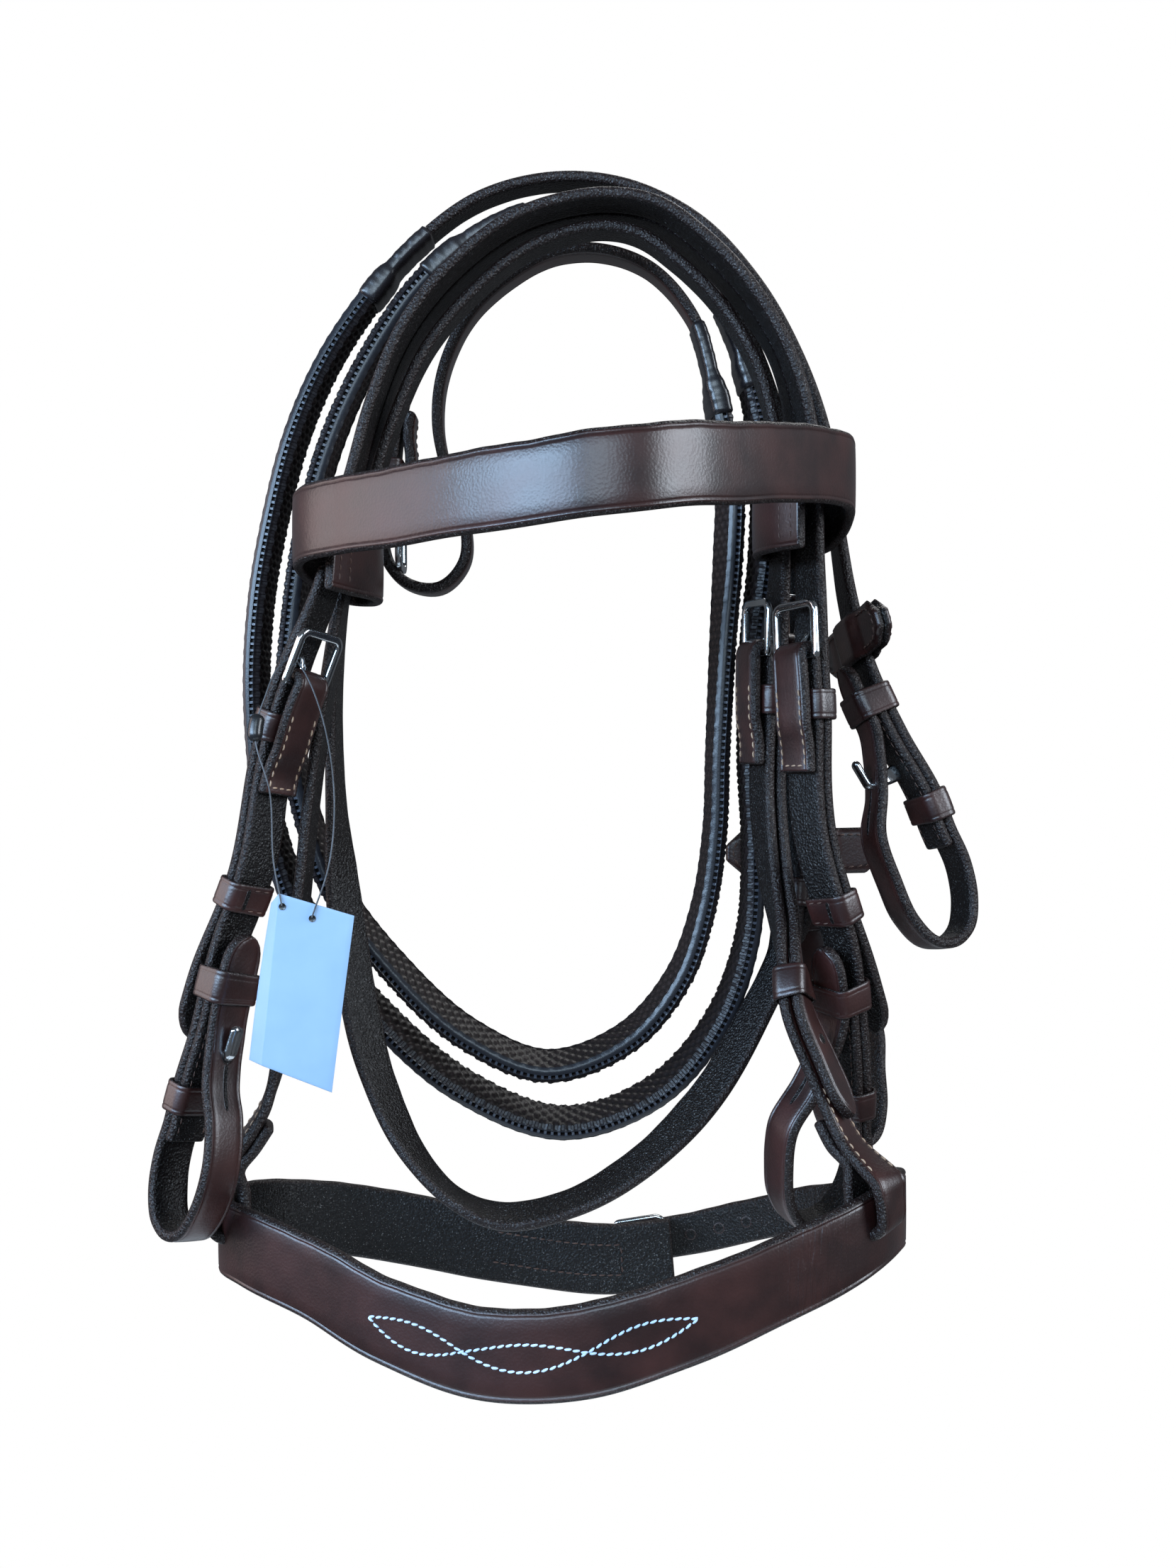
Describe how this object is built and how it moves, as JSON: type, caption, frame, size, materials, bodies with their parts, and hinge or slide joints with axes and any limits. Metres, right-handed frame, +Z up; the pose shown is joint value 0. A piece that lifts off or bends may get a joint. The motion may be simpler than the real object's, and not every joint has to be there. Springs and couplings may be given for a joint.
{
  "type": "hunter bridle",
  "caption": "Brown leather hunter bridle with browband, stitched wide noseband, buckled cheekpieces, throatlatch and rubber-grip reins, shown hanging with a bare hang tag.",
  "frame": {"origin": "the hang seat, on the underside of the straps where a hook carries the bridle", "axes": "+Z up, +X to the right of someone who faces the browband, the browband and noseband front towards -Y"},
  "size_m": [0.2974, 0.1968, 0.4298],
  "materials": {
    "leather": "grained, waxed",
    "rubber": "moulded pattern",
    "sleeve": "smooth",
    "bead": "smooth",
    "steel": "polished",
    "card": "coated",
    "string": "twisted"
  },
  "bodies": {
    "bridle": {"browband": "leather", "cheek_left_buckle_frame": "steel", "cheek_left_hook_stud": "steel", "cheek_left_keeper_buckle": "leather", "cheek_left_keeper_lower": "leather", "cheek_left_keeper_upper": "leather", "cheek_right_buckle_frame": "steel", "cheek_right_hook_stud": "steel", "cheek_right_keeper_buckle": "leather", "cheek_right_keeper_lower": "leather", "cheek_right_keeper_upper": "leather", "cheekpiece_left": "leather", "cheekpiece_right": "leather", "chin_buckle_chape": "leather", "chin_buckle_frame": "steel", "chin_keeper": "leather", "chin_strap": "leather", "crown_headpiece": "leather", "noseband_buckle_frame": "steel", "noseband_cheek_strap": "leather", "noseband_front": "leather", "noseband_head_strap": "leather", "noseband_keeper": "leather", "rein_buckle_frame": "steel", "rein_keeper_buckle": "leather", "rein_one_bit_end": "leather", "rein_one_buckle_end": "leather", "rein_one_grip": "rubber", "rein_one_hook_stud": "steel", "rein_one_keeper_lower": "leather", "rein_one_sleeve_bit_end": "sleeve", "rein_one_sleeve_buckle_end": "sleeve", "rein_two_bit_end": "leather", "rein_two_buckle_end": "leather", "rein_two_grip": "rubber", "rein_two_hook_stud": "steel", "rein_two_keeper_lower": "leather", "rein_two_sleeve_bit_end": "sleeve", "rein_two_sleeve_buckle_end": "sleeve", "throatlatch_buckle_frame": "steel", "throatlatch_keeper": "leather"},
    "tongue_cheek_left": {"cheek_left_buckle_tongue": "steel"},
    "tongue_cheek_right": {"cheek_right_buckle_tongue": "steel"},
    "tongue_chin": {"chin_buckle_tongue": "steel"},
    "tongue_noseband": {"noseband_buckle_tongue": "steel"},
    "tongue_rein": {"rein_buckle_tongue": "steel"},
    "tongue_throatlatch": {"throatlatch_buckle_tongue": "steel"},
    "rein_one_stop": {"rein_one_stop": "leather"},
    "rein_two_stop": {"rein_two_stop": "leather"},
    "cheek_left_keeper_tip": {"cheek_left_keeper_tip": "leather"},
    "cheek_right_keeper_tip": {"cheek_right_keeper_tip": "leather"},
    "rein_one_keeper_tip": {"rein_one_keeper_tip": "leather"},
    "rein_two_keeper_tip": {"rein_two_keeper_tip": "leather"},
    "noseband_keeper_tip": {"noseband_keeper_tip": "leather"},
    "throatlatch_running_keeper": {"throatlatch_running_keeper": "leather"},
    "tag": {"tag_card": "card", "tag_string": "string", "tag_bead": "bead"}
  },
  "joints": [
    {"name": "tongue_cheek_left_hinge", "type": "hinge", "parent": "bridle", "child": "tongue_cheek_left", "pos_m": [-0.10184, -0.04403, -0.1591], "axis": [0.522, 0.8431, -0.1295], "range_deg": [-3, 3]},
    {"name": "tongue_cheek_right_hinge", "type": "hinge", "parent": "bridle", "child": "tongue_cheek_right", "pos_m": [0.06867, -0.03786, -0.149], "axis": [-0.5795, 0.8127, -0.0601], "range_deg": [-3, 3]},
    {"name": "tongue_chin_hinge", "type": "hinge", "parent": "bridle", "child": "tongue_chin", "pos_m": [0.00891, 0.0458, -0.37696], "axis": [-0.1596, 0.0046, 0.9872], "range_deg": [-3, 3]},
    {"name": "tongue_noseband_hinge", "type": "hinge", "parent": "bridle", "child": "tongue_noseband", "pos_m": [0.05685, -0.01372, -0.14598], "axis": [-0.3308, 0.9432, 0.0297], "range_deg": [-3, 3]},
    {"name": "tongue_rein_hinge", "type": "hinge", "parent": "bridle", "child": "tongue_rein", "pos_m": [-0.0739, 0.008, -0.094], "axis": [0, 1, 0], "range_deg": [-3, 3]},
    {"name": "tongue_throatlatch_hinge", "type": "hinge", "parent": "bridle", "child": "tongue_throatlatch", "pos_m": [0.07057, -0.00133, -0.14254], "axis": [-0.5528, 0.8212, 0.1415], "range_deg": [-3, 3]},
    {"name": "rein_one_stop_slide", "type": "slide", "parent": "bridle", "child": "rein_one_stop", "axis": [0.2558, -0.1644, -0.9526], "range_m": [-0.004, 0.004]},
    {"name": "rein_two_stop_slide", "type": "slide", "parent": "bridle", "child": "rein_two_stop", "axis": [0.0243, -0.0012, -0.9997], "range_m": [-0.004, 0.004]},
    {"name": "cheek_left_keeper_tip_slide", "type": "slide", "parent": "bridle", "child": "cheek_left_keeper_tip", "axis": [-0.2373, -0.0047, -0.9714], "range_m": [-0.0015, 0.0015]},
    {"name": "cheek_right_keeper_tip_slide", "type": "slide", "parent": "bridle", "child": "cheek_right_keeper_tip", "axis": [0.1422, 0.2642, -0.9539], "range_m": [-0.0015, 0.0015]},
    {"name": "rein_one_keeper_tip_slide", "type": "slide", "parent": "bridle", "child": "rein_one_keeper_tip", "axis": [0.3967, -0.1255, -0.9093], "range_m": [-0.0015, 0.0015]},
    {"name": "rein_two_keeper_tip_slide", "type": "slide", "parent": "bridle", "child": "rein_two_keeper_tip", "axis": [0.1126, -0.0185, -0.9935], "range_m": [-0.0015, 0.0015]},
    {"name": "noseband_keeper_tip_slide", "type": "slide", "parent": "bridle", "child": "noseband_keeper_tip", "axis": [0.0682, -0.4643, -0.8831], "range_m": [-0.0015, 0.0015]},
    {"name": "throatlatch_running_keeper_slide", "type": "slide", "parent": "bridle", "child": "throatlatch_running_keeper", "axis": [-0.0999, -0.0659, -0.9928], "range_m": [-0.0015, 0.0015]},
    {"name": "tag_swing", "type": "hinge", "parent": "bridle", "child": "tag", "pos_m": [-0.105, -0.05, -0.15], "axis": [0, 1, 0], "range_deg": [-12, 12]}
  ]
}
